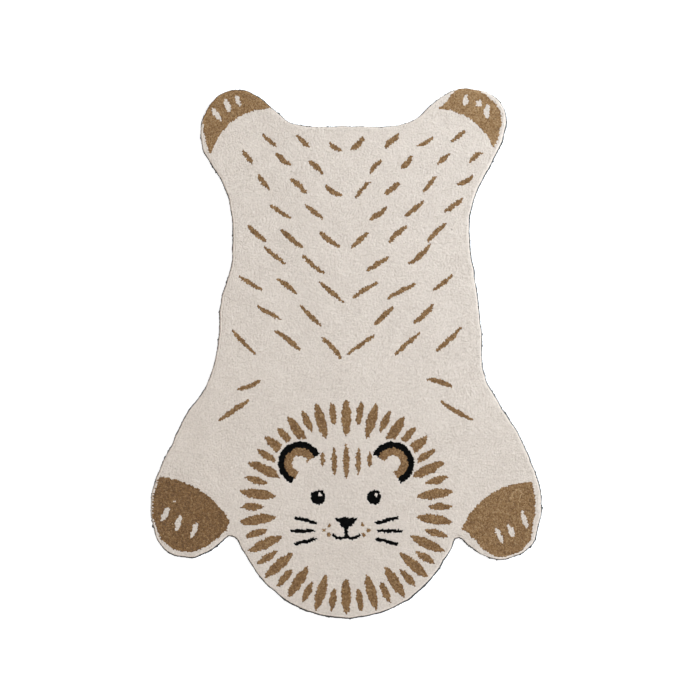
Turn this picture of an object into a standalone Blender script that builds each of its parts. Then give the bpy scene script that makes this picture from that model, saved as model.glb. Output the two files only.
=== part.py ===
"""A hand-tufted kids rug in the shape of an animal's hide, lying flat.

Run it with: blender --background --python part.py

The rug is two pieces, glued one on the other: the wool pile with the canvas that it is tufted through, and
the backing cloth under it, which shows as a thin line round the edge. Units in the tables are millimetres.
The frame is +Z up, with the head towards -Y and the hind paws towards +Y. The origin is on the floor, under
the middle of the rug.
"""

import math

import bmesh
import bpy
import numpy as np

MM = 0.001

# Driving dimensions, in millimetres
LENGTH = 1100.0  # chin to hind paws
WIDTH = 811.0  # across the front paws
BACKING_THICKNESS = 1.5
GLUE_GAP = 0.3  # between the backing cloth and the pile's canvas
RUG_THICKNESS = 13.0  # floor to the tips of the pile
BACKING_MARGIN = 2.2  # how far the backing cloth reaches past the pile
PILE_SHOULDER = 5.0  # the shears round the rim of the pile off over this width
SHOULDER_STEPS = 3

# The head is round, so it is an arc: its centre, its radius, and where it starts and ends (degrees from +X)
HEAD_CENTRE = (0.0, -318.0)
HEAD_RADIUS = 231.0
HEAD_FROM_DEG = 210.0
HEAD_TO_DEG = 330.0
HEAD_STEP_DEG = 10.0

# The outline's other points, in order, anticlockwise seen from above: from the head's arc up the right side
RIGHT_SIDE = (
    # place on the rug, x, y
    ("right jaw", 219, -404),
    ("right notch", 229, -384),
    ("right front paw, inner side", 258, -402),
    ("right front paw, inner toe", 297, -425),
    ("right front paw, middle toe", 333, -427),
    ("right front paw, outer toe", 386, -397),
    ("right front paw, outer side", 398, -366),
    ("right front paw, widest", 406, -318),
    ("right wrist", 398, -262),
    ("right elbow", 374, -203),
    ("right upper arm", 357, -165),
    ("right shoulder", 324, -114),
    ("right armpit", 287, -43),
    ("right ribs", 281, 46),
    ("right belly", 268, 152),
    ("right waist", 256, 240),
    ("right hip", 258, 288),
    ("right thigh", 277, 348),
    ("right hock", 309, 407),
    ("right hind paw, outer side", 330, 462),
    ("right hind paw, outer toe", 330, 502),
    ("right hind paw, middle toe", 310, 532),
    ("right hind paw, tip", 272, 547),
    ("right hind paw, inner toe", 233, 549),
    ("right hind paw, inner side", 190, 527),
    ("right groin", 147, 489),
    ("tail edge, right end", 104, 473),
)
LEFT_SIDE = (
    # place on the rug, x, y
    ("tail edge, middle", 5, 472),
    ("tail edge, left end", -76, 471),
    ("left groin", -115, 479),
    ("left hind paw, inner side", -149, 504),
    ("left hind paw, inner toe", -190, 537),
    ("left hind paw, tip", -224, 547),
    ("left hind paw, middle toe", -258, 539),
    ("left hind paw, outer toe", -288, 510),
    ("left hind paw, outer side", -302, 468),
    ("left hock", -299, 426),
    ("left shin", -278, 387),
    ("left thigh", -255, 350),
    ("left hip", -241, 300),
    ("left waist", -236, 240),
    ("left belly", -240, 180),
    ("left ribs", -260, 110),
    ("left armpit", -270, 0),
    ("left shoulder", -301, -85),
    ("left upper arm", -329, -121),
    ("left elbow", -362, -188),
    ("left wrist", -396, -261),
    ("left front paw, widest", -406, -305),
    ("left front paw, outer side", -403, -352),
    ("left front paw, outer toe", -384, -400),
    ("left front paw, middle toe", -332, -424),
    ("left front paw, inner toe", -284, -410),
    ("left front paw, inner side", -256, -388),
    ("left notch", -241, -378),
    ("left jaw", -216, -407),
)

CURVE_STEPS = 16  # steps of the smooth curve from one of these points to the next
EDGE_SPACING = 7.5  # between the corners of the finished outline

# The edge is cut by hand, so it wavers a little
WAVER = (
    # waves round the rug, reach in mm, start in degrees
    (31, 0.35, 40),
    (53, 0.35, 200),
    (79, 0.35, 310),
    (113, 0.30, 120),
)


def material(name, colour, roughness):
    """A plain material with this colour, a linear red, green and blue."""
    mat = bpy.data.materials.new(name)
    mat.use_nodes = True
    shader = mat.node_tree.nodes["Principled BSDF"]
    shader.inputs["Base Color"].default_value = (*colour, 1.0)
    shader.inputs["Roughness"].default_value = roughness
    shader.inputs["Metallic"].default_value = 0.0
    return mat


def head_arc():
    """Points on the round of the head, from the left notch past the chin to the right one."""
    count = round((HEAD_TO_DEG - HEAD_FROM_DEG) / HEAD_STEP_DEG)
    angles = np.radians(np.linspace(HEAD_FROM_DEG, HEAD_TO_DEG, count + 1))
    return [
        (HEAD_CENTRE[0] + HEAD_RADIUS * math.cos(a), HEAD_CENTRE[1] + HEAD_RADIUS * math.sin(a))
        for a in angles
    ]


def smooth_outline():
    """The closed curve through the head's arc and the two sides, as an array of points."""
    knots = head_arc() + [(x, y) for _, x, y in RIGHT_SIDE + LEFT_SIDE]
    data = bpy.data.curves.new("outline", "CURVE")
    data.dimensions = "2D"
    data.fill_mode = "NONE"
    data.resolution_u = CURVE_STEPS
    data.render_resolution_u = CURVE_STEPS
    spline = data.splines.new("BEZIER")
    spline.bezier_points.add(len(knots) - 1)
    for point, (x, y) in zip(spline.bezier_points, knots):
        point.co = (x, y, 0.0)
        point.handle_left_type = point.handle_right_type = "AUTO"
    spline.use_cyclic_u = True
    guide = bpy.data.objects.new("outline", data)
    bpy.context.scene.collection.objects.link(guide)
    seen = guide.evaluated_get(bpy.context.evaluated_depsgraph_get())
    line = seen.to_mesh()
    points = np.array([v.co[:2] for v in line.vertices])
    seen.to_mesh_clear()
    bpy.data.objects.remove(guide)
    bpy.data.curves.remove(data)
    return points


def evenly_spaced(points, spacing):
    """The same closed line with points about this far apart."""
    closed = np.vstack([points, points[:1]])
    along = np.concatenate([[0.0], np.cumsum(np.hypot(*np.diff(closed, axis=0).T))])
    stops = np.linspace(0.0, along[-1], round(along[-1] / spacing), endpoint=False)
    return np.column_stack([np.interp(stops, along, closed[:, i]) for i in (0, 1)])


def moved_out(points, reach):
    """The same line moved outwards, by one distance or by one for each point."""
    tangent = np.roll(points, -1, axis=0) - np.roll(points, 1, axis=0)
    tangent /= np.linalg.norm(tangent, axis=1, keepdims=True)
    outward = np.column_stack([tangent[:, 1], -tangent[:, 0]])
    return points + outward * np.reshape(reach, (-1, 1))


def rug_outline():
    """The backing cloth's edge: the smooth outline with its waver, at the rug's real length and width."""
    points = evenly_spaced(smooth_outline(), EDGE_SPACING)
    turn = np.linspace(0.0, 2 * math.pi, len(points), endpoint=False)
    waver = sum(reach * np.sin(waves * turn + math.radians(start)) for waves, reach, start in WAVER)
    points = moved_out(points, waver)
    low, high = points.min(axis=0), points.max(axis=0)
    return (points - (low + high) / 2) * (WIDTH, LENGTH) / (high - low)


def slab(name, outline, low, high, mat):
    """A flat piece with this outline between two heights, in millimetres."""
    data = bpy.data.curves.new(name, "CURVE")
    data.dimensions = "2D"
    data.fill_mode = "BOTH"
    data.extrude = (high - low) / 2 * MM
    spline = data.splines.new("POLY")
    spline.points.add(len(outline) - 1)
    for point, (x, y) in zip(spline.points, outline):
        point.co = (x * MM, y * MM, 0.0, 1.0)
    spline.use_cyclic_u = True
    curve = bpy.data.objects.new(name + "_outline", data)
    bpy.context.scene.collection.objects.link(curve)
    mesh = bpy.data.meshes.new_from_object(curve.evaluated_get(bpy.context.evaluated_depsgraph_get()))
    bpy.data.objects.remove(curve)
    bpy.data.curves.remove(data)
    mesh.name = name

    bm = bmesh.new()
    bm.from_mesh(mesh)
    bmesh.ops.remove_doubles(bm, verts=bm.verts, dist=0.00001)
    bmesh.ops.translate(bm, verts=bm.verts, vec=(0.0, 0.0, (low + high) / 2 * MM))
    bmesh.ops.recalc_face_normals(bm, faces=bm.faces)
    across = [e for e in bm.edges if all(abs(f.normal.z) > 0.9 for f in e.link_faces)]
    bmesh.ops.dissolve_edges(bm, edges=across, use_verts=False)  # each flat side is then one face
    bm.to_mesh(mesh)
    bm.free()
    mesh.materials.clear()
    mesh.materials.append(mat)
    return bpy.data.objects.new(name, mesh)


def round_top_rim(piece, width, steps):
    """Rounds the upper rim of a flat piece off."""
    bm = bmesh.new()
    bm.from_mesh(piece.data)
    rim = [
        e
        for e in bm.edges
        if any(f.normal.z > 0.9 for f in e.link_faces) and any(abs(f.normal.z) < 0.1 for f in e.link_faces)
    ]
    bmesh.ops.bevel(bm, geom=rim, offset=width * MM, segments=steps, profile=0.5, affect="EDGES")
    bm.to_mesh(piece.data)
    bm.free()


def build():
    for old in list(bpy.data.objects):
        bpy.data.objects.remove(old)
    rug = bpy.data.collections.new("animal_rug")
    bpy.context.scene.collection.children.link(rug)

    cream_wool = material("cream_wool", (0.71, 0.65, 0.59), 0.95)
    grey_cloth = material("grey_cloth", (0.10, 0.10, 0.105), 0.9)

    edge = rug_outline()
    backing = slab("backing_cloth", edge, 0.0, BACKING_THICKNESS, grey_cloth)
    rug.objects.link(backing)

    pile_edge = moved_out(edge, -BACKING_MARGIN)
    pile = slab("tufted_pile", pile_edge, BACKING_THICKNESS + GLUE_GAP, RUG_THICKNESS, cream_wool)
    round_top_rim(pile, PILE_SHOULDER, SHOULDER_STEPS)
    pile.data.shade_smooth()
    pile.data.set_sharp_from_angle(angle=math.radians(40))
    rug.objects.link(pile)


build()
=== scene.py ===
"""Looks of a hand-tufted kids rug in the shape of an animal's hide, lying on a pale floor.

The pile is real tufts, one for each knot of yarn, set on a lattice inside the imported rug's outline. A tuft
takes the yarn of the motif that its root lies in, so the edges of the motifs are stepped as on a real rug.
Sizes and places are in millimetres unless their comment says otherwise, in the rug's frame: head towards -Y,
hind paws towards +Y, floor at Z = 0. Left and right are as seen from above with the head at the bottom.
"""

import math
from typing import NamedTuple

import bmesh
import bpy
import numpy as np
from mathutils.kdtree import KDTree
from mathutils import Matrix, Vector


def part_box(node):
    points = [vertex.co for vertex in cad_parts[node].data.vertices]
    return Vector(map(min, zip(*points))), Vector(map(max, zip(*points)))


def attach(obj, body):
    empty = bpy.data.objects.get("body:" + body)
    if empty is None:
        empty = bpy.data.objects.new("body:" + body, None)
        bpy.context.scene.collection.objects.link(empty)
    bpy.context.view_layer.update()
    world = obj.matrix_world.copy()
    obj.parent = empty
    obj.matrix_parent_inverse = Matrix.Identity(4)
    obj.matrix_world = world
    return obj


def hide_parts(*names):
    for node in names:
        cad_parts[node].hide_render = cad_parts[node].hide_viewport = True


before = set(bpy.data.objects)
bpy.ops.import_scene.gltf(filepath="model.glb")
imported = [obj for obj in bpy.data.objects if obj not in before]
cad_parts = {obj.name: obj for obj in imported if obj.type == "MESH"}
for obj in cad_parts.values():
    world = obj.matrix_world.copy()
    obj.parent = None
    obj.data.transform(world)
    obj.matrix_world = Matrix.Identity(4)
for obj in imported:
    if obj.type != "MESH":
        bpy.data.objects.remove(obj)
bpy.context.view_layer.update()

MM = 0.001
BODY = "root"
PILE_NODE = "tufted_pile"
CLOTH_NODE = "backing_cloth"
SEED = 11
PIECE_TRIANGLES = 190_000  # the most in one piece

# The tufts of the pile
TUFT_PITCH = 3.1  # between the middles of two tufts
TUFT_SIDES = 6
TUFT_RINGS = (
    # mm under the tip, radius in pitches
    (0.75, 0.82),  # the crown's foot, sunk between its neighbours
)
TIP_SPREAD = 0.09  # of the tips' heights
NAP = (-0.3, 0.85)  # how far all the tips lean to one side
LEAN_SPREAD = 0.25  # of how far each leans
CROWN_SPREAD = 0.3  # of the top of a crown off its middle
RING_SPREAD = 0.12  # of the heights of the points round a tuft
SIZE_SPREAD = 0.08  # of the tufts' radii, as a share
SIDE_SPREAD = 0.07  # of one tuft's radius from side to side, as a share
SHADE_SPREAD = 0.25  # of the yarn's shade from tuft to tuft
SHADE_LIMITS = (-2.0, 2.0)  # in spreads

# The lattice that they stand on
ROW_BENDS = (
    # the rows bend, as by hand: mm to a wave, reach in mm, start in degrees along the rows and across them
    (410, 9.0, 30, 90),
    (173, 3.0, 140, 420),
    (97, 1.2, 250, 750),
)
LATTICE_MARGIN = 20  # past the rug on every side, because the rows bend inwards too
ROOT_SPREAD = 0.7  # of the roots off the lattice, before they spread out evenly again
SPREADING_ROUNDS = 6
SPREADING_REACH = 1.25  # in pitches: tufts that are closer than this push each other apart
SPREADING_SHARE = 0.22  # of what they lack, in one round
SPREADING_LEAST = 0.1  # the gap that two tufts in one place are taken to have

# Two rows stand along the edge. The outer one is columns that show their whole height
RIM_PITCH = 1.9
RIM_INSET = 0.7  # of their roots from the edge of the pile
RIM_LEAN = 0.5  # outwards
RIM_RINGS = (
    # share of the way up from the canvas to the tip, radius in mm
    (0.0, 1.25),
    (0.5, 1.4),
    (0.95, 1.2),
)
# and the one behind it stands on the shoulder and closes the gap to the lattice
SHOULDER = 3.5  # the shears round the pile off over this width at the edge
SHOULDER_INSET = 2.4
SHOULDER_PITCH = 2.4
SHOULDER_RINGS = ((1.8, 0.72), (0.6, 0.6))  # mm under the tip, radius in pitches of the lattice
SHOULDER_TO_LATTICE = 0.6  # in pitches of the lattice
EDGE_SPREAD = 0.2  # of the roots in both rows

# The ground that the tufts stand in
GROUND_INSET = 1.8
GROUND_DEPTH = 1.6  # under the tips

# The cut edge of the backing cloth
CUT_STEP = 2.2  # between the corners of the edge
CUT_MOVE = 1.2  # how much further out the cut is than planned
CUT_FRAY = 0.3  # how ragged it is
CUT_WAVER = (
    # waves round the rug, reach in mm, start in degrees
    (23, 0.12, 50),
    (41, 0.18, 200),
    (67, 0.20, 320),
    (103, 0.18, 80),
)
CUT_PLACES = (
    # where the cut runs further out or in than elsewhere: x, y, how far out, and over what reach round there
    (-82, -533, 0.9, 90.0),  # the head
    (165, -478, 0.9, 75.0),
    (288, -421, -1.0, 70.0),  # the right front paw
    (297, -426, 3.0, 2.5),
    (382, -401, 3.0, 2.5),
    (404, -321, 2.5, 2.5),
    (281, 24, -0.7, 35.0),  # the right side
    (277, 348, -0.7, 40.0),
    (258, 547, -0.7, 50.0),
    (-296, 418, -0.8, 60.0),  # the left side
    (-241, 304, -0.8, 35.0),
    (-272, -12, -0.7, 40.0),
    (-340, -143, 0.7, 40.0),
    (-376, -216, 2.5, 2.5),
    (-405, -317, -0.6, 25.0),  # the left front paw
    (-402, -359, 5.0, 2.5),
)
NUBS = 75  # small places round the edge where it stands out
NUB_REACH = 2.2  # of the largest
NUB_LEAST = 0.3  # the smallest, as a share of that
THREADS = 800  # cut ends of threads that stand out of the edge
THREAD = 0.4  # how thick one is
THREAD_ROOT = 1.0  # how far inside the cut it starts
THREAD_REACH = (1.0, 2.6)  # how far it runs from there: all of them, and the longest so much further
THREAD_SHIFT = 1.2  # along the edge
THREAD_SLANT = 0.5

CREAM, BROWN, BLACK = "cream", "brown", "black"

EDGE_WOBBLE = (
    # the edges of the motifs waver: mm to a wave, direction in degrees, reach in mm, start in degrees
    (27.0, 20, 0.6, 10),
    (19.0, 75, 0.5, 100),
    (15.0, 130, 0.4, 220),
    (11.0, 160, 0.3, 300),
)
# How fast the strokes of yarn narrow towards their ends
STROKE_TAPER = 0.4
LINE_TAPER = 0.15
RAY_TAPER = 0.6


class Paw(NamedTuple):
    """The brown patch of a paw, with the cream rim round it."""

    middle: tuple  # x and y
    reach: float  # the patch goes no further than this from there
    arc: tuple  # middle x and y, and radius, of the arc that ends it towards the leg
    inside: bool  # whether the patch lies inside the arc
    narrowest: tuple  # of the rim: direction from the middle in degrees, degrees to each side, width
    onwards: tuple  # anticlockwise from there it widens over so many degrees, to this width
    backwards: tuple  # the same clockwise
    lighter: float  # how much lighter this paw's yarn is


PAWS = (
    Paw((-225, 470), 84, (-161, 384, 122), False, (95, 65, 0.0), (40, 8.0), (50, 9.0), 0.235),
    Paw((258, 470), 108, (184, 377, 130), False, (95, 13, 0.0), (26, 13.0), (24, 8.5), 0.38),
    Paw((-345, -335), 103, (-402, -441, 186), True, (175, 15, 2.4), (60, 9.5), (90, 3.5), -0.16),
    Paw((328, -345), 108, (382, -420, 153), True, (-90, 5, 4.2), (85, 11.5), (50, 15.5), 0.155),
)
RIM_GROWTH = 1.5  # the rims widen slowly at first

TOES = (
    # x, y, length, width, direction in degrees
    (-269, 495, 31, 10.0, 127),
    (-246, 513, 30, 11.5, 111),
    (-224, 523, 26, 8.5, 112),
    (247, 525, 23, 9.5, 82),
    (274, 518, 14, 12.0, 80),
    (291, 501, 28, 11.5, 86),
    (-375, -333, 34, 11.5, 64),
    (-348, -352, 33, 11.5, 75),
    (-315, -367, 32, 11.0, 69),
    (369, -345, 38, 10.0, 107),
    (341, -367, 29, 10.5, 115),
    (317, -377, 38, 9.5, 117),
)

# What lies on the brown of the front paws: a speck of pale lint, and a loose end of pale yarn
LINT = (-355.6, -308.0)
LINT_REACH = 1.6
LOOSE_YARN = ((340, -303), (345, -291), (351, -285), (358, -283), (364, -288), (362, -295), (359, -308))
LOOSE_YARN_REACH = 1.6
LOOSE_YARN_SHADE = 1.1  # lighter

# The fur marks of the back: staggered rows of short strokes that fall towards the middle line
MARK_ROWS = 9
MARK_FIRST_ROW = 428.0
MARK_CHANGES = (
    # in the first row and in the last
    (36.0, 68.0),  # the length of a mark
    (68.0, 88.0),  # from one mark to the next along the row
    (46.0, 60.0),  # down to the next row
)
MARK_MIDDLE_GAP = 10.0  # from the middle line to the nearest end of the first mark of every other row
MARK_FARTHEST = 320.0  # no row goes further than this from the middle line
MARK_RISE = 0.1  # how steeply a row climbs away from the middle line
MARK_WIDTH = 10.5
MARK_SIZES = (0.85, 1.15)  # the shortest or thinnest mark, and the longest or thickest, as shares
MARK_SLOPE = 40.0
MARK_SLOPE_SPREAD = 6.0
MARK_PLACE_SPREAD = 3.5
MARK_BOW = 3.0  # how far the middle of a mark is off straight at most
MARK_CLEAR = 14.0  # the marks stay this far off the edge of the rug and the brown of the paws
SHOULDER_MARKS = (
    # x, y, length, slope in degrees; one on each side
    (196, -62, 50, -20),
    (232, -118, 70, -32),
)

# The head
HEAD = (0.0, -318.0)
RAYS = 44  # in the mane, every other one long
LONG_RAY = (147, 223, 21.0)  # from and to, in mm from the head's middle, and width
SHORT_RAY = (170, 219, 15.0)
EAR = (96.0, 90.0)  # x and y from the head's middle
EAR_DISCS = (
    # radius, yarn
    (51.0, CREAM),
    (45.0, BLACK),
    (32.0, BROWN),
    (16.0, CREAM),
)
EAR_CUT = 122.0  # the face hides the ears up to this far from the head's middle
EYE = (58.0, 20.0)  # x and y from the head's middle
EYE_RADIUS = 15.0
GLINT = (4.5, 5.0)  # x and y from the eye's middle
GLINT_RADIUS = 4.0
BROW_MARKS = (
    # x, lower y and upper y from the head's middle, width; one on each side, and the first in the middle
    (0, 56, 132, 13.0),
    (25, 66, 122, 11.5),
    (49, 82, 114, 10.0),
)
NOSE_TOP = -22.0  # y from the head's middle
NOSE_HALF_WIDTH = 24.0
NOSE_HEIGHT = 23.0
NOSE_ROUNDING = 0.6  # 1 for straight sides, less for round ones
NOSE_LINE = (5.0, 3.0)  # how far it runs up into the nose, and down past the mouth
MOUTH = -62.0  # y from the head's middle
MOUTH_HALF_WIDTH = 29.0
MOUTH_RISE = 6.0  # of its corners
WHISKERS = (
    # x and y where it starts, x and y where it ends, from the head's middle
    (60, -34, 108, -22),
    (64, -50, 116, -50),
    (60, -66, 108, -78),
)
CHEEK_DOTS = (
    # x, y from the head's middle
    (34, -38),
    (46, -49),
    (36, -58),
)
CHEEK_DOT_RADIUS = 4.0
THIN_LINE = 7.4


class Wool(NamedTuple):
    """The look of one colour of yarn."""

    colours: tuple  # linear: of the darkest fibres, the middling ones and the lightest
    tuft: float  # how much the colour follows the tuft's own shade,
    mottle: float  # the soft mottling over the rug,
    heather: float  # the mix of fibres along the yarn
    fibre: float  # and the single fibres
    sheen: float
    gloss: float


WOOLS = {
    CREAM: Wool(
        ((0.54, 0.447, 0.373), (0.71, 0.611, 0.524), (0.86, 0.757, 0.658)),
        tuft=0.3, mottle=0.35, heather=0.45, fibre=0.35, sheen=0.1, gloss=0.15,
    ),
    BROWN: Wool(
        ((0.095, 0.043, 0.0137), (0.232, 0.119, 0.043), (0.43, 0.27, 0.13)),
        tuft=0.55, mottle=0.2, heather=1.6, fibre=0.8, sheen=0.08, gloss=0.15,
    ),
    BLACK: Wool(
        ((0.0011, 0.0011, 0.0010), (0.0028, 0.0028, 0.0026), (0.008, 0.0078, 0.0074)),
        tuft=0.5, mottle=0.3, heather=0.8, fibre=0.5, sheen=0.0, gloss=0.03,
    ),
}
WOOL_ROUGHNESS = 0.95
SHEEN_ROUGHNESS = 0.6
# The patterns in the yarn: how fine they are, in repeats to a metre
MOTTLE_SCALE = 30.0
HEATHER_SCALE = 600.0
FIBRE_SCALE = 2000.0
FIBRE_END_SCALE = 850.0
FIBRE_STRETCH = (1.0, 1.0, 0.2)  # the fibres stand upright in the pile
FIBRE_RELIEF = 0.5  # what the fibres add to the surface
FIBRE_END_RELIEF = 0.9  # and what the gaps between their ends take away
WOOL_BUMP = (0.6, 0.0006)  # strength, and height in metres

# The ground's dull tan stands for the latexed canvas, and being darker than the cream yarn it is painted shade
# in the gaps between cream tufts
CANVAS_AND_GAP_SHADE = ((0.2, (0.28, 0.21, 0.15)), (0.8, (0.42, 0.33, 0.25)))  # place in the pattern, linear colour
CANVAS_GREY = ((0.1, (0.022, 0.022, 0.022)), (0.8, (0.085, 0.083, 0.081)))
CLOTH_ROUGHNESS = 0.9
PATCHES_SCALE = 260.0
WEAVE_SCALE = 190.0
WEAVE_WAVER = 0.6
WEAVE_BUMP = (0.5, 0.0004)  # strength, and height in metres

# The studio, in metres
FLOOR_SIZE = 12.0
FLOOR_LEVEL = -0.0002
FLOOR_COLOUR = (0.93, 0.93, 0.93, 1.0)
FLOOR_ROUGHNESS = 0.9
FLOOR_GLOSS = 0.1
FLOOR_GLOW = 0.45  # the white floor is lit from below too
WHITE = (1.0, 1.0, 1.0, 1.0)
WORLD_LIGHT = 0.74
LAMP_PLACE = (1.6, 0.9, 1.8)
LAMP_SIZE = 1.2
LAMP_POWER = 63.5
LAMP_COLOUR = (0.74, 0.87, 1.0)
CAMERA_PLACE = (0.0078, 0.0071, 4.04)
CAMERA_LENS = 100.0

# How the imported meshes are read: corners and heights that are closer than this, in metres, count as the same
SAME_PLACE = 0.00001
SAME_HEIGHT = 0.0001
FACING_DOWN = -0.9  # a face looks down if the Z of its normal is less than this
POINTS_AT_ONCE = 4000  # whose depths are worked out together, to save memory


# ---------------------------------------------------------------- outlines


def edge_of(node):
    """The outline of a node's flat underside, as points in order, anticlockwise seen from above, in mm."""
    bm = bmesh.new()
    bm.from_mesh(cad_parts[node].data)
    bmesh.ops.remove_doubles(bm, verts=bm.verts, dist=SAME_PLACE)
    bm.normal_update()
    level = min(v.co.z for v in bm.verts) + SAME_HEIGHT
    under = {f for f in bm.faces if f.normal.z < FACING_DOWN and f.calc_center_median().z < level}
    following = {}
    for face in under:
        for loop in face.loops:
            if any(other not in under for other in loop.edge.link_faces):
                following[loop.link_loop_next.vert] = loop.vert  # backwards, because the face looks down
    first = vert = min(following, key=lambda v: (v.co.y, v.co.x))
    points = []
    while True:
        points.append((vert.co.x / MM, vert.co.y / MM))
        vert = following[vert]
        if vert is first:
            break
    bm.free()
    return np.array(points)


def evenly_spaced(points, spacing):
    """The same closed line with points about this far apart."""
    closed = np.vstack([points, points[:1]])
    along = np.concatenate([[0.0], np.cumsum(np.hypot(*np.diff(closed, axis=0).T))])
    stops = np.linspace(0.0, along[-1], round(along[-1] / spacing), endpoint=False)
    return np.column_stack([np.interp(stops, along, closed[:, i]) for i in (0, 1)])


def outward_of(points):
    """The unit vector out of a closed line at each of its points."""
    tangent = np.roll(points, -1, axis=0) - np.roll(points, 1, axis=0)
    tangent /= np.linalg.norm(tangent, axis=1, keepdims=True)
    return np.column_stack([tangent[:, 1], -tangent[:, 0]])


def depth_inside(points, outline):
    """How far each point lies inside the outline, in mm; negative outside."""
    start, end = outline, np.roll(outline, -1, axis=0)
    step = end - start
    depths = []
    for part in np.array_split(points, max(1, len(points) // POINTS_AT_ONCE)):
        x, y = part[:, :1], part[:, 1:]
        away = part[:, None] - start
        share = np.clip((away * step).sum(2) / (step**2).sum(1), 0.0, 1.0)
        gap = np.linalg.norm(away - share[..., None] * step, axis=2).min(axis=1)
        spans = (start[:, 1] > y) != (end[:, 1] > y)
        rise = np.where(step[:, 1] == 0, 1.0, step[:, 1])
        crosses = spans & (x < start[:, 0] + (y - start[:, 1]) * step[:, 0] / rise)
        depths.append(np.where(crosses.sum(axis=1) % 2 == 1, gap, -gap))
    return np.concatenate(depths)


# ---------------------------------------------------------------- motifs


def polar(angle, radius=1.0):
    """The point at this angle, in degrees, and radius."""
    return radius * math.cos(math.radians(angle)), radius * math.sin(math.radians(angle))


def in_disc(points, middle, radius):
    """Which points lie in a disc."""
    return np.hypot(*(points - middle).T) < radius


def in_stroke(points, middle, length, width, angle, bow=0.0, taper=STROKE_TAPER):
    """Which points lie in a stroke of yarn: widest in its middle, pointed at its ends, and maybe bowed."""
    along = np.array(polar(angle))
    across = np.array((-along[1], along[0]))
    away = points - middle
    share = away @ along / length + 0.5
    off = bow * 4 * share * (1 - share)
    half = width / 2 * np.sin(np.pi * np.clip(share, 0.0, 1.0)) ** taper
    return (share > 0) & (share < 1) & (np.abs(away @ across - off) < half)


def in_line(points, start, end, bow=0.0):
    """Which points lie in a thin line from one point to another."""
    step = end - start
    angle = math.degrees(math.atan2(step[1], step[0]))
    return in_stroke(points, (start + end) / 2, np.hypot(*step), THIN_LINE, angle, bow, LINE_TAPER)


def near_path(points, path, reach):
    """Which points lie within this reach of a path of straight steps."""
    near = np.zeros(len(points), bool)
    for start, end in zip(path, path[1:]):
        step = np.subtract(end, start)
        share = np.clip((points - start) @ step / (step @ step), 0.0, 1.0)
        near |= np.hypot(*(points - start - share[:, None] * step).T) < reach
    return near


def wavering(points):
    """The points moved a little, so that what is drawn over them has wavering edges."""
    moved = points.copy()
    for wave, angle, reach, start in EDGE_WOBBLE:
        along, across = np.array(polar(angle)), np.array(polar(angle + 90))
        turn = 2 * np.pi * (points @ along) / wave + math.radians(start)
        moved += across * (reach * np.sin(turn))[:, None]
    return moved


def rim_width(points, paw):
    """The width of a paw's cream rim at each point."""
    direction, free, narrow = paw.narrowest
    away = points - paw.middle
    angle = np.degrees(np.arctan2(away[:, 1], away[:, 0]))
    turn = (angle - direction + 180) % 360 - 180
    degrees, wide = (np.where(turn > 0, *pair) for pair in zip(paw.onwards, paw.backwards))
    return narrow + (wide - narrow) * np.clip((np.abs(turn) - free) / degrees, 0.0, 1.0) ** RIM_GROWTH


def on_paw(points, depth, paw, spare=0.0):
    """Which points lie in the brown of a paw, or within a spare distance of it."""
    x, y, radius = paw.arc
    gap = np.hypot(points[:, 0] - x, points[:, 1] - y) - radius
    brown_side = gap < spare if paw.inside else gap > -spare
    near = in_disc(points, paw.middle, paw.reach + spare)
    return near & brown_side & (depth > rim_width(points, paw) - spare)


def planned_marks():
    """The fur marks of one side of the back before they are scattered: x, y, length and slope of each."""
    planned = list(SHOULDER_MARKS)
    y = MARK_FIRST_ROW
    for row, share in enumerate(np.linspace(0.0, 1.0, MARK_ROWS)):
        length, pitch, step = (np.interp(share, (0, 1), pair) for pair in MARK_CHANGES)
        first = MARK_MIDDLE_GAP + polar(MARK_SLOPE, length / 2)[0] + pitch / 2 * (row % 2)
        for x in np.arange(first, MARK_FARTHEST, pitch):
            planned.append((x, y + MARK_RISE * x, length, MARK_SLOPE))
        y -= step
    return planned


def fur_marks(rng):
    """The fur marks of the back: the middle, length, width, angle and bow of each."""
    marks = []
    for x, y, planned_length, slope in planned_marks():
        for side in (1, -1):
            middle = np.array((side * x, y)) + rng.normal(0.0, MARK_PLACE_SPREAD, 2)
            length = planned_length * rng.uniform(*MARK_SIZES)
            angle = slope + rng.normal(0.0, MARK_SLOPE_SPREAD)
            if side < 0:
                angle = 180 - angle
            width = MARK_WIDTH * rng.uniform(*MARK_SIZES)
            bow = rng.uniform(-MARK_BOW, MARK_BOW)
            reach = np.array(polar(angle, length / 2))
            ends = np.array((middle - reach, middle, middle + reach))
            depth = depth_inside(ends, RUG_EDGE)
            blocked = any(on_paw(ends, depth, paw, MARK_CLEAR).any() for paw in PAWS)
            if depth.min() > MARK_CLEAR and not blocked:
                marks.append((middle, length, width, angle, bow))
    return marks


def put_mane(points, yarn):
    """The lion's mane: a ring of pointed rays."""
    for ray in range(RAYS):
        angle = 90 + 360 * ray / RAYS
        near, far, width = LONG_RAY if ray % 2 == 0 else SHORT_RAY
        middle = np.array(HEAD) + polar(angle, (near + far) / 2)
        yarn[in_stroke(points, middle, far - near, width, angle, taper=RAY_TAPER)] = BROWN


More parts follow.
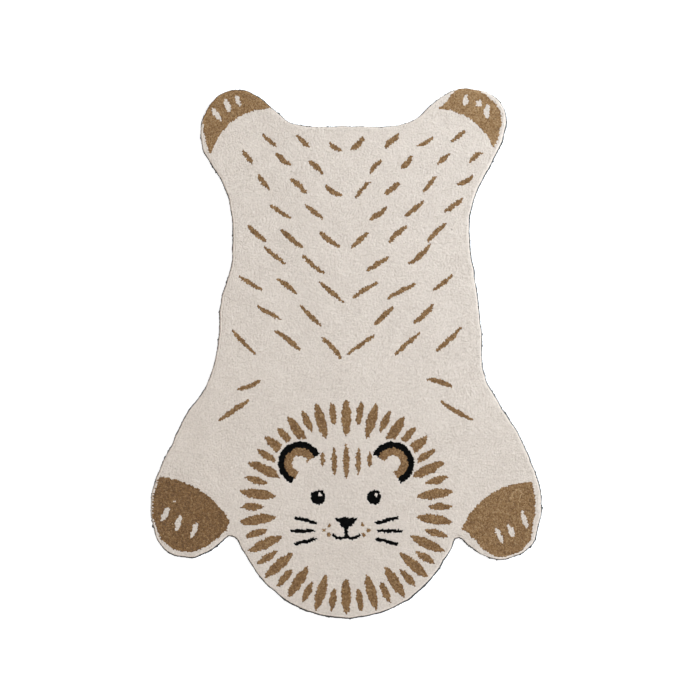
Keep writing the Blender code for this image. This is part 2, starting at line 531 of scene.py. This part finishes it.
def put_half_face(points, yarn, side):
    """What the lion's face has on each side, the right one (1) or the left one (-1)."""
    head = np.array(HEAD)
    flip = np.array((side, 1.0))
    for radius, colour in EAR_DISCS:
        ear = in_disc(points, head + flip * EAR, radius) & ~in_disc(points, head, EAR_CUT)
        yarn[ear] = colour
    eye = head + flip * EYE
    yarn[in_disc(points, eye, EYE_RADIUS)] = BLACK
    yarn[in_disc(points, eye + GLINT, GLINT_RADIUS)] = CREAM
    for x, low, high, width in BROW_MARKS:
        middle = head + flip * (x, (low + high) / 2)
        yarn[in_stroke(points, middle, high - low, width, 90, taper=RAY_TAPER)] = BROWN
    for x0, y0, x1, y1 in WHISKERS:
        yarn[in_line(points, head + flip * (x0, y0), head + flip * (x1, y1))] = BLACK
    for dot in CHEEK_DOTS:
        yarn[in_disc(points, head + flip * dot, CHEEK_DOT_RADIUS)] = BROWN
    corner = head + flip * (MOUTH_HALF_WIDTH, MOUTH + MOUTH_RISE)
    yarn[in_line(points, head + (0, MOUTH), corner, bow=-side * MOUTH_RISE)] = BLACK


def put_nose(points, yarn):
    """The nose, which narrows downwards, and the line from there to the mouth."""
    head = np.array(HEAD)
    nose_foot = NOSE_TOP - NOSE_HEIGHT
    x, y = (points - head).T
    rise = y - nose_foot
    half = NOSE_HALF_WIDTH * np.clip(rise / NOSE_HEIGHT, 0.0, 1.0) ** NOSE_ROUNDING
    yarn[(rise > 0) & (rise < NOSE_HEIGHT) & (np.abs(x) < half)] = BLACK
    above, below = NOSE_LINE
    yarn[in_line(points, head + (0, nose_foot + above), head + (0, MOUTH - below))] = BLACK


def yarns_at(points, depth, marks):
    """The yarn of the tuft at each point, and how far its shade is off that yarn's own."""
    points = wavering(points)
    yarn = np.full(len(points), CREAM, dtype=object)
    shade = np.zeros(len(points))
    for paw in PAWS:
        patch = on_paw(points, depth, paw)
        yarn[patch] = BROWN
        shade[patch] = paw.lighter
    for x, y, length, width, angle in TOES:
        toe = in_stroke(points, (x, y), length, width, angle)
        yarn[toe] = CREAM
        shade[toe] = 0.0
    yarn[in_disc(points, LINT, LINT_REACH)] = CREAM
    shade[near_path(points, LOOSE_YARN, LOOSE_YARN_REACH)] += LOOSE_YARN_SHADE
    for mark in marks:
        yarn[in_stroke(points, *mark)] = BROWN
    put_mane(points, yarn)
    for side in (1, -1):
        put_half_face(points, yarn, side)
    put_nose(points, yarn)
    return yarn, shade


# ---------------------------------------------------------------- tufts


def sheared_height(depth):
    """The height of the pile's surface this far in from its edge."""
    short = np.clip(SHOULDER - depth, 0.0, SHOULDER)
    return PILE_TOP - SHOULDER + np.sqrt(SHOULDER**2 - short**2)


def lattice_roots(rng):
    """The roots of the tufts, in bending rows over the whole rug but for its edge."""
    low, high = RUG_EDGE.min(axis=0) - LATTICE_MARGIN, RUG_EDGE.max(axis=0) + LATTICE_MARGIN
    rows = np.arange(low[1], high[1], TUFT_PITCH * math.sqrt(3) / 2)
    columns = np.arange(low[0], high[0], TUFT_PITCH)
    x, y = np.meshgrid(columns, rows)
    x = x + TUFT_PITCH / 2 * (np.arange(len(rows)) % 2)[:, None]
    bent = sum(
        reach * np.sin(2 * np.pi * x / wave + math.radians(start) + y / wave)
        for wave, reach, start, _ in ROW_BENDS
    )
    leant = sum(
        reach * np.sin(2 * np.pi * y / wave + math.radians(start)) for wave, reach, _, start in ROW_BENDS
    )
    points = np.column_stack([(x + leant).ravel(), (y + bent).ravel()])
    points += rng.normal(0.0, ROOT_SPREAD, points.shape)
    return points[depth_inside(points, RUG_EDGE) > SHOULDER_INSET + SHOULDER_TO_LATTICE * TUFT_PITCH]


def edge_roots(pitch, inset, rng):
    """The roots of a row of tufts along the edge, and the way out of the rug at each."""
    points = evenly_spaced(RUG_EDGE, pitch)
    outward = outward_of(points)
    return points - outward * inset + rng.normal(0.0, EDGE_SPREAD, points.shape), outward


def spread_out(points, fixed):
    """The points after they have pushed each other and been pushed by the fixed ones to even gaps."""
    reach = SPREADING_REACH * TUFT_PITCH
    for _ in range(SPREADING_ROUNDS):
        everything = np.vstack([points, fixed])
        tree = KDTree(len(everything))
        for i, (x, y) in enumerate(everything):
            tree.insert((x, y, 0.0), i)
        tree.balance()
        pairs = [
            (i, j, gap)
            for i, (x, y) in enumerate(points)
            for _, j, gap in tree.find_range((x, y, 0.0), reach)
            if i != j
        ]
        here, there, gap = (np.array(column) for column in zip(*pairs))
        away = (everything[here] - everything[there]) / np.maximum(gap, SPREADING_LEAST)[:, None]
        push = away * (reach - gap)[:, None] * SPREADING_SHARE
        points = points + np.column_stack(
            [np.bincount(here, push[:, i], minlength=len(points)) for i in (0, 1)]
        )
    return points


def crown_rings(tips, rings):
    """The depths under each tip and the radii of the rings of tufts that only show their crowns."""
    return [np.full(len(tips), under) for under, _ in rings], [TUFT_PITCH * radius for _, radius in rings]


def column_rings(tips, rings):
    """The depths under each tip and the radii of the rings of columns that stand on the canvas."""
    height = tips - CANVAS
    return [height * (1 - share) for share, _ in rings], [radius for _, radius in rings]


def tuft_triangles(sides, rings):
    """The triangles of one tuft: its foot, the rings up its side and its crown, closed."""
    faces = [(0, k + 1, k) for k in range(1, sides - 1)]
    for ring in range(rings - 1):
        for k in range(sides):
            a, b = ring * sides + k, ring * sides + (k + 1) % sides
            faces += [(a, b, b + sides), (a, b + sides, a + sides)]
    top = (rings - 1) * sides
    faces += [(top + k, top + (k + 1) % sides, rings * sides) for k in range(sides)]
    return np.array(faces)


def tuft_points(roots, tips, lean, depths, radii, rng):
    """The points of every tuft, from its lowest ring to its tip: an array of tufts by points by 3."""
    count, sides = len(roots), TUFT_SIDES
    turn = rng.uniform(0.0, 2 * np.pi, (count, 1)) + 2 * np.pi * np.arange(sides) / sides
    size = rng.normal(1.0, SIZE_SPREAD, (count, 1))
    points = []
    for depth, radius in zip(depths, radii):
        reach = radius * size * rng.normal(1.0, SIDE_SPREAD, (count, sides))
        share = 1 - depth / depths[0]
        middle = roots + lean * share[:, None]
        x = middle[:, :1] + reach * np.cos(turn)
        y = middle[:, 1:] + reach * np.sin(turn)
        z = (tips - depth)[:, None] + rng.normal(0.0, RING_SPREAD, (count, sides))
        points.append(np.stack([x, y, z], axis=2))
    tip = roots + lean + rng.normal(0.0, CROWN_SPREAD, roots.shape)
    points.append(np.column_stack([tip, tips])[:, None])
    points = np.concatenate(points, axis=1)
    points[..., 2] = np.maximum(points[..., 2], CANVAS)
    return points


def mesh_of(name, points, triangles):
    """A smooth mesh from arrays of points, in mm, and of triangles."""
    mesh = bpy.data.meshes.new(name)
    mesh.vertices.add(len(points))
    mesh.vertices.foreach_set("co", (points * MM).astype(np.float32).ravel())
    mesh.loops.add(triangles.size)
    mesh.loops.foreach_set("vertex_index", triangles.astype(np.int32).ravel())
    mesh.polygons.add(len(triangles))
    mesh.polygons.foreach_set("loop_start", np.arange(0, triangles.size, 3, dtype=np.int32))
    mesh.update(calc_edges=True)
    mesh.shade_smooth()
    return mesh


def add_map(mesh, margin=0.005):
    """The UV map named OFBake: the piece seen from above, as large as fits."""
    places = np.empty(len(mesh.vertices) * 3, np.float32)
    mesh.vertices.foreach_get("co", places)
    places = places.reshape(-1, 3)[:, :2]
    low, high = places.min(axis=0), places.max(axis=0)
    flat = margin + (1 - 2 * margin) * (places - low) / (high - low).max()
    corners = np.empty(len(mesh.loops), np.int32)
    mesh.loops.foreach_get("vertex_index", corners)
    mesh.uv_layers.new(name="OFBake").uv.foreach_set("vector", flat[corners].astype(np.float32).ravel())


def add_shade(mesh, shade):
    """Keeps each point's shade of the yarn, where the material reads it."""
    mesh.attributes.new("shade", "FLOAT", "POINT").data.foreach_set("value", shade.astype(np.float32))


def linked(name, mesh, mat):
    """An object in the scene with this mesh and material."""
    mesh.materials.append(mat)
    piece = bpy.data.objects.new(name, mesh)
    bpy.context.scene.collection.objects.link(piece)
    return piece


def tuft_pieces(name, points, shade, rings, mat):
    """Pieces of whole tufts, cut across the rug's length so that none has too many triangles."""
    faces = tuft_triangles(TUFT_SIDES, rings)
    parts = math.ceil(len(points) * len(faces) / PIECE_TRIANGLES)
    order = np.argsort(points[:, -1, 1], kind="stable")
    made = []
    for i, chosen in enumerate(np.array_split(order, parts)):
        here = points[chosen]
        per_tuft = here.shape[1]
        triangles = faces[None] + np.arange(len(chosen))[:, None, None] * per_tuft
        title = name if parts == 1 else f"{name}_{i + 1}"
        mesh = mesh_of(title, here.reshape(-1, 3), triangles.reshape(-1, 3))
        add_shade(mesh, np.repeat(shade[chosen], per_tuft))
        add_map(mesh)
        made.append(linked(title, mesh, mat))
    return made


def slab(name, outline, low, high, mat):
    """A flat closed piece with this outline, in mm."""
    bm = bmesh.new()
    under = [bm.verts.new((x * MM, y * MM, low * MM)) for x, y in outline]
    over = [bm.verts.new((x * MM, y * MM, high * MM)) for x, y in outline]
    bm.faces.new(under[::-1])
    bm.faces.new(over)
    for k in range(len(outline)):
        after = (k + 1) % len(outline)
        bm.faces.new((under[k], under[after], over[after], over[k]))
    bm.normal_update()
    bmesh.ops.triangulate(bm, faces=bm.faces)
    mesh = bpy.data.meshes.new(name)
    bm.to_mesh(mesh)
    bm.free()
    return linked(name, mesh, mat)


# ---------------------------------------------------------------- materials


def new_material(name):
    """A material, its node tree and its shader."""
    mat = bpy.data.materials.new(name)
    mat.use_nodes = True
    tree = mat.node_tree
    return mat, tree, tree.nodes["Principled BSDF"]


def plug(tree, socket, value):
    """Links a socket to another one, or sets it to a value."""
    if isinstance(value, bpy.types.NodeSocket):
        tree.links.new(value, socket)
    else:
        socket.default_value = value


def node(tree, kind, **inputs):
    """A new node, with the sockets named here set or linked."""
    made = tree.nodes.new(kind)
    for key, value in inputs.items():
        plug(tree, made.inputs[key.replace("_", " ")], value)
    return made


def maths(tree, operation, *values):
    """The output of a Math node on these sockets and numbers."""
    made = tree.nodes.new("ShaderNodeMath")
    made.operation = operation
    for socket, value in zip(made.inputs, values):
        plug(tree, socket, value)
    return made.outputs["Value"]


def ramp(tree, factor, stops):
    """Colours between stops of (place, linear colour)."""
    made = node(tree, "ShaderNodeValToRGB", Fac=factor)
    while len(made.color_ramp.elements) < len(stops):
        made.color_ramp.elements.new(0.5)
    for element, (place, colour) in zip(made.color_ramp.elements, stops):
        element.position = place
        element.color = (*colour, 1.0)
    return made.outputs["Color"]


def noise(tree, place, scale, detail, roughness=0.5):
    """Noise with a mean of about 0.5."""
    made = node(tree, "ShaderNodeTexNoise", Vector=place, Scale=scale, Detail=detail, Roughness=roughness)
    return made.outputs["Fac"]


def place_on(tree):
    """The place on the piece, in metres."""
    return tree.nodes.new("ShaderNodeTexCoord").outputs["Object"]


def add_bump(tree, shader, strength, distance, height):
    """Raises the surface by this height."""
    bump = node(tree, "ShaderNodeBump", Strength=strength, Distance=distance, Height=height)
    tree.links.new(bump.outputs["Normal"], shader.inputs["Normal"])


def wool_yarn(name, look):
    """Wool yarn: each tuft has its shade, with soft mottling over the rug and mixed fibres in the tuft."""
    mat, tree, shader = new_material(name)
    place = place_on(tree)
    upright = node(tree, "ShaderNodeMapping", Vector=place, Scale=FIBRE_STRETCH).outputs["Vector"]
    fibre = noise(tree, upright, FIBRE_SCALE, detail=2.0, roughness=0.6)
    tuft = tree.nodes.new("ShaderNodeAttribute")
    tuft.attribute_name = "shade"
    parts = (
        # what the colour follows, how much, and what its mean is
        (tuft.outputs["Fac"], look.tuft, 0.0),
        (noise(tree, place, MOTTLE_SCALE, detail=3.0, roughness=0.6), look.mottle, 0.5),
        (noise(tree, upright, HEATHER_SCALE, detail=2.0, roughness=0.6), look.heather, 0.5),
        (fibre, look.fibre, 0.5),
    )
    value = 0.5
    for output, share, mean in parts:
        centred = maths(tree, "SUBTRACT", output, mean)
        value = maths(tree, "ADD", maths(tree, "MULTIPLY", centred, share), value)
    stops = list(zip((0.0, 0.5, 1.0), look.colours))
    plug(tree, shader.inputs["Base Color"], ramp(tree, value, stops))
    shader.inputs["Roughness"].default_value = WOOL_ROUGHNESS
    shader.inputs["Specular IOR Level"].default_value = look.gloss
    shader.inputs["Sheen Weight"].default_value = look.sheen
    shader.inputs["Sheen Roughness"].default_value = SHEEN_ROUGHNESS
    ends = node(tree, "ShaderNodeTexVoronoi", Vector=upright, Scale=FIBRE_END_SCALE).outputs["Distance"]
    raised = maths(tree, "MULTIPLY", fibre, FIBRE_RELIEF)
    sunk = maths(tree, "MULTIPLY", ends, FIBRE_END_RELIEF)
    add_bump(tree, shader, *WOOL_BUMP, maths(tree, "SUBTRACT", raised, sunk))
    return mat


def canvas_and_gap_shade(name):
    """The latexed canvas that the tufts stand in: a dull tan, darker than the cream yarn, so painted shade in
    the gaps between cream tufts.
    """
    mat, tree, shader = new_material(name)
    patches = noise(tree, place_on(tree), PATCHES_SCALE, detail=3.0)
    plug(tree, shader.inputs["Base Color"], ramp(tree, patches, CANVAS_AND_GAP_SHADE))
    shader.inputs["Roughness"].default_value = CLOTH_ROUGHNESS
    return mat


def grey_canvas(name):
    """Plain-woven grey cotton: threads along X and Y that pass over and under each other."""
    mat, tree, shader = new_material(name)
    place = place_on(tree)
    threads = []
    for direction in ("X", "Y"):
        wave = node(
            tree, "ShaderNodeTexWave", Vector=place, Scale=WEAVE_SCALE, Distortion=WEAVE_WAVER, Detail=1.0
        )
        wave.bands_direction = direction
        threads.append(wave.outputs["Fac"])
    weave = maths(tree, "MULTIPLY", *threads)
    patches = noise(tree, place, PATCHES_SCALE, detail=3.0)
    half_weave = maths(tree, "MULTIPLY", weave, 0.5)
    value = maths(tree, "MULTIPLY_ADD", patches, 0.5, half_weave)
    plug(tree, shader.inputs["Base Color"], ramp(tree, value, CANVAS_GREY))
    shader.inputs["Roughness"].default_value = CLOTH_ROUGHNESS
    add_bump(tree, shader, *WEAVE_BUMP, weave)
    return mat


# ---------------------------------------------------------------- the rug


def add_pile(materials, rng):
    """Every tuft of the rug, in pieces by the colour of their yarn."""
    rim, outward = edge_roots(RIM_PITCH, RIM_INSET, rng)
    shoulder, _ = edge_roots(SHOULDER_PITCH, SHOULDER_INSET, rng)
    lattice = spread_out(lattice_roots(rng), shoulder)
    marks = fur_marks(rng)
    kinds = (
        # name, roots, how far the tips lean outwards, rings and how their table is read
        ("pile", lattice, 0.0, crown_rings, TUFT_RINGS),
        ("shoulder_tufts", shoulder, 0.0, crown_rings, SHOULDER_RINGS),
        ("rim_tufts", rim, outward * RIM_LEAN, column_rings, RIM_RINGS),
    )
    made = []
    for name, roots, lean_out, read_rings, rings in kinds:
        depth = depth_inside(roots, RUG_EDGE)
        tips = sheared_height(depth) + rng.normal(0.0, TIP_SPREAD, len(roots))
        lean = rng.normal(0.0, LEAN_SPREAD, roots.shape) + NAP + lean_out
        yarn, shade = yarns_at(roots, depth, marks)
        shade = shade + rng.normal(0.0, 1.0, len(roots)).clip(*SHADE_LIMITS) * SHADE_SPREAD
        points = tuft_points(roots, tips, lean, *read_rings(tips, rings), rng)
        for colour, mat in materials.items():
            chosen = yarn == colour
            if chosen.any():
                made += tuft_pieces(f"{colour}_{name}", points[chosen], shade[chosen], len(rings), mat)
    return made


def add_ground(mat):
    """What the tufts stand in: a flat slab just under the surface of the pile, its tan painted shade between
    cream tufts.
    """
    edge = RUG_EDGE - outward_of(RUG_EDGE) * GROUND_INSET
    piece = slab("pile_ground", edge, CANVAS, PILE_TOP - GROUND_DEPTH, mat)
    add_map(piece.data)
    return piece


def cut_edge(rng):
    """The backing cloth's edge as it was cut, a little ragged, and the way out of the rug at its points."""
    edge = evenly_spaced(edge_of(CLOTH_NODE), CUT_STEP)
    turn = np.linspace(0.0, 2 * np.pi, len(edge), endpoint=False)
    waver = sum(reach * np.sin(waves * turn + math.radians(start)) for waves, reach, start in CUT_WAVER)
    out = CUT_MOVE + waver + rng.normal(0.0, CUT_FRAY, len(edge))
    nubs = rng.choice(len(edge), NUBS, replace=False)
    out[nubs] += rng.uniform(NUB_LEAST, 1.0, NUBS) * NUB_REACH
    for x, y, further, reach in CUT_PLACES:
        out += further * np.exp(-((np.hypot(*(edge - (x, y)).T) / reach) ** 2))
    outward = outward_of(edge)
    return edge + outward * out[:, None], outward


def add_cloth(mat, rng):
    """The backing cloth, with the ends of threads that stand out of its cut edge."""
    low, high = (corner[2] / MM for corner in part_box(CLOTH_NODE))
    edge, outward = cut_edge(rng)
    piece = slab("backing", edge, low, high, mat)

    chosen = rng.choice(len(edge), THREADS)
    outward = outward[chosen]
    along = np.column_stack([-outward[:, 1], outward[:, 0]])
    shift = rng.uniform(-THREAD_SHIFT, THREAD_SHIFT, (THREADS, 1))
    roots = edge[chosen] - outward * THREAD_ROOT + along * shift
    least, more = THREAD_REACH
    reach = least + more * rng.uniform(0.0, 1.0, (THREADS, 1)) ** 2
    tips = roots + outward * reach + along * reach * rng.normal(0.0, THREAD_SLANT, (THREADS, 1))
    heights = rng.uniform(low + THREAD / 2, high - THREAD / 2, THREADS)
    add_threads(piece, roots, tips, along, heights)
    return piece


def add_threads(cloth, roots, tips, along, heights):
    """Adds level pointed ends of threads to the cloth, from roots inside it to tips outside."""
    half = THREAD / 2
    bm = bmesh.new()
    bm.from_mesh(cloth.data)
    for root, tip, side, z in zip(roots, tips, along, heights):
        foot = [
            bm.verts.new(((root[0] + side[0] * x) * MM, (root[1] + side[1] * x) * MM, (z + up) * MM))
            for x, up in ((-half, -half), (half, -half), (0.0, half))
        ]
        point = bm.verts.new((tip[0] * MM, tip[1] * MM, (z - half) * MM))
        bm.faces.new(foot)
        for k in range(3):
            bm.faces.new((foot[k], point, foot[(k + 1) % 3]))
    bmesh.ops.recalc_face_normals(bm, faces=bm.faces)
    bm.to_mesh(cloth.data)
    bm.free()


# ---------------------------------------------------------------- the studio


def add_floor():
    """A white floor that glows a little, as on a light table."""
    bpy.ops.mesh.primitive_plane_add(size=FLOOR_SIZE, location=(0.0, 0.0, FLOOR_LEVEL))
    floor = bpy.context.object
    floor.name = "floor"
    mat, _, shader = new_material("floor")
    shader.inputs["Base Color"].default_value = FLOOR_COLOUR
    shader.inputs["Roughness"].default_value = FLOOR_ROUGHNESS
    shader.inputs["Specular IOR Level"].default_value = FLOOR_GLOSS
    shader.inputs["Emission Color"].default_value = WHITE
    shader.inputs["Emission Strength"].default_value = FLOOR_GLOW
    floor.data.materials.append(mat)


def add_light():
    """White light from all round, and a large cool lamp from the upper right."""
    world = bpy.data.worlds.new("studio")
    bpy.context.scene.world = world
    world.use_nodes = True
    sky = world.node_tree.nodes["Background"]
    sky.inputs["Color"].default_value = WHITE
    sky.inputs["Strength"].default_value = WORLD_LIGHT
    data = bpy.data.lights.new("softbox", "AREA")
    data.shape = "SQUARE"
    data.size = LAMP_SIZE
    data.energy = LAMP_POWER
    data.color = LAMP_COLOUR
    lamp = bpy.data.objects.new("softbox", data)
    bpy.context.scene.collection.objects.link(lamp)
    lamp.location = LAMP_PLACE
    lamp.rotation_euler = (-lamp.location).to_track_quat("-Z", "Y").to_euler()
    lamp.visible_camera = False


def add_camera():
    """A camera that looks straight down."""
    data = bpy.data.cameras.new("camera")
    data.lens = CAMERA_LENS
    camera = bpy.data.objects.new("camera", data)
    bpy.context.scene.collection.objects.link(camera)
    camera.location = CAMERA_PLACE
    bpy.context.scene.camera = camera


# ---------------------------------------------------------------- make it

RUG_EDGE = edge_of(PILE_NODE)
CANVAS, PILE_TOP = (corner[2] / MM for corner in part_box(PILE_NODE))

rng = np.random.default_rng(SEED)
wools = {colour: wool_yarn(f"{colour}_wool", look) for colour, look in WOOLS.items()}
tufts = add_pile(wools, rng)
ground = add_ground(canvas_and_gap_shade("canvas_and_gap_shade"))
cloth = add_cloth(grey_canvas("grey_canvas"), rng)

for piece in [*tufts, ground]:
    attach(piece, BODY)
    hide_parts(PILE_NODE)
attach(cloth, BODY)
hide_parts(CLOTH_NODE)

add_floor()
add_light()
add_camera()
bpy.context.scene.view_settings.view_transform = "Standard"
